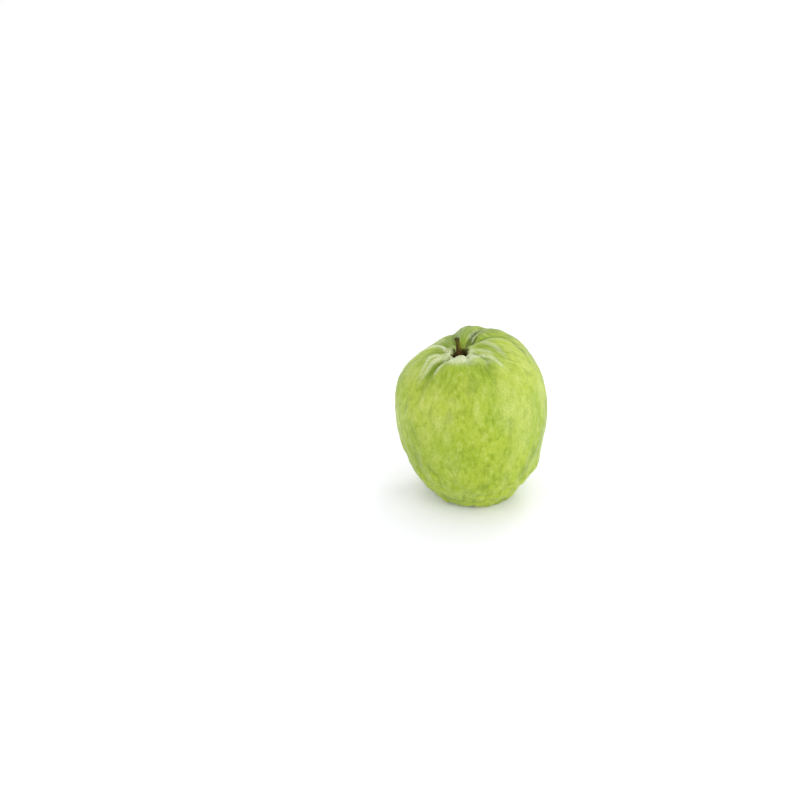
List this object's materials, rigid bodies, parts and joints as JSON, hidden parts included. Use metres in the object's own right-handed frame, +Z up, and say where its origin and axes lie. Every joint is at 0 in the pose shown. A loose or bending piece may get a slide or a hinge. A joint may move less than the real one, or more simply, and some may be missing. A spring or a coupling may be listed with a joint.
{
  "type": "guava fruit",
  "caption": "Whole ripe guava with a furrowed crown, lumpy skin, a dry stem stub in its pit and a withered calyx underneath.",
  "frame": {"origin": "on the surface that the fruit stands on, under the middle of its bounding box", "axes": "+Z up, from the calyx to the stem; +X to the right and -Y towards the viewer of the side with the deep furrow left of the stem"},
  "size_m": [0.0903, 0.0913, 0.103],
  "materials": {
    "skin": "smooth waxy yellow-green rind, satin",
    "stem": "dry woody stalk, olive brown, matte",
    "calyx": "withered dry sepals, brown, matte"
  },
  "bodies": {
    "root": {"fruit": "skin", "stem": "stem", "calyx": "calyx"}
  },
  "joints": []
}
